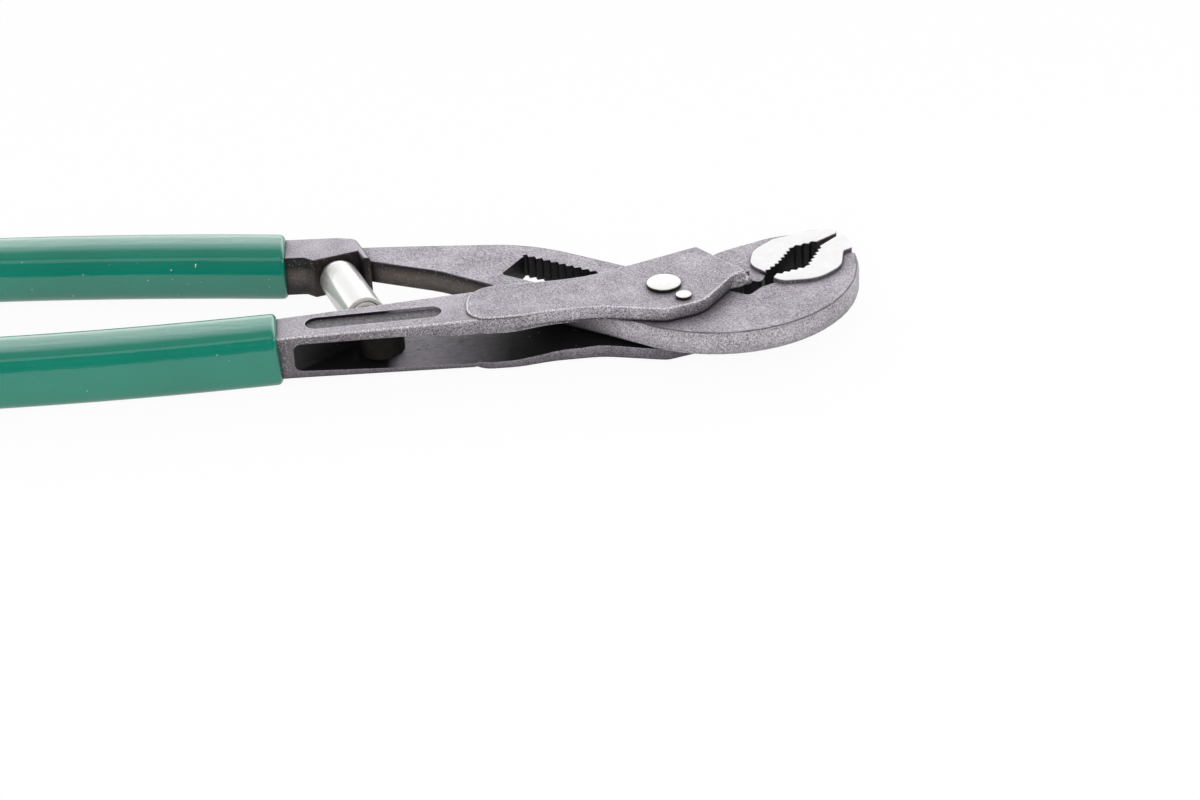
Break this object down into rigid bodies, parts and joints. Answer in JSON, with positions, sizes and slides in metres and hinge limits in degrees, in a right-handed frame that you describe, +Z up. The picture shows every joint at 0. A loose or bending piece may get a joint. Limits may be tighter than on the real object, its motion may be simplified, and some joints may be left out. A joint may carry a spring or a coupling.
{
  "type": "water pump pliers",
  "caption": "Self-adjusting water pump pliers: a slotted lever with a rack slides in a forked lever, with serrated jaws, a pawl, a spring strut and dipped vinyl grips, closed",
  "frame": {"origin": "centre of the lower face of the main rivet's bottom head, straight below the pivot, on the surface that the pliers lie on", "axes": "+X runs along the tool towards the jaws, +Y towards the slide lever's handle, +Z up along the rivet"},
  "size_m": [0.2486, 0.0719, 0.0176],
  "materials": {
    "forged_steel": "grey phosphate coat over forged steel, satin, with ground bright jaw faces",
    "bright_steel": "bright plated steel",
    "chrome": "mirror chrome",
    "spring_steel": "hardened spring steel",
    "green_vinyl": "glossy dipped vinyl, deep green"
  },
  "bodies": {
    "rivet": {"main_rivet": "bright_steel"},
    "fork": {"fork_lever": "forged_steel", "fork_grip": "green_vinyl", "stop_pin": "bright_steel", "eye_pin": "bright_steel"},
    "carriage": {"pawl_spring": "spring_steel"},
    "pawl": {"pawl": "spring_steel"},
    "slide_lever": {"slide_lever": "forged_steel", "slide_grip": "green_vinyl"},
    "strut_tube": {"strut_tube": "chrome", "strut_gland": "bright_steel", "strut_spring": "spring_steel"},
    "strut_rod": {"strut_rod": "bright_steel"}
  },
  "joints": [
    {"name": "grip_squeeze", "type": "hinge", "parent": "rivet", "child": "fork", "pos_m": [0, 0, 0.0092], "axis": [0, 0, 1], "range_deg": [-0.8, 2], "stiffness_Nm_per_rad": 6},
    {"name": "slot_turn", "type": "hinge", "parent": "rivet", "child": "carriage", "pos_m": [0, 0, 0.0092], "axis": [0, 0, 1], "range_deg": [-14, 0]},
    {"name": "pawl_rock", "type": "hinge", "parent": "carriage", "child": "pawl", "pos_m": [0, 0, 0.0092], "axis": [0, 0, 1], "range_deg": [-8.6, 0], "stiffness_Nm_per_rad": 0.02},
    {"name": "jaw_adjust", "type": "slide", "parent": "carriage", "child": "slide_lever", "axis": [0.848, -0.5299, 0], "range_m": [0, 0.0288]},
    {"name": "strut_swing", "type": "hinge", "parent": "slide_lever", "child": "strut_tube", "pos_m": [-0.0859, 0.0259, 0.0092], "axis": [0, 0, 1], "range_deg": [-34.3, 0]},
    {"name": "strut_slide", "type": "slide", "parent": "strut_tube", "child": "strut_rod", "axis": [0.3502, -0.9367, 0], "range_m": [-0.0012, 0.003], "deforming": ["strut_spring"]}
  ],
  "couplings": [
    {"joint": "slot_turn", "follows": "jaw_adjust", "rad_per_m": -8.4648},
    {"joint": "strut_swing", "follows": "jaw_adjust", "rad_per_m": -20.769},
    {"joint": "strut_slide", "follows": "grip_squeeze", "m_per_rad": 0.085}
  ]
}
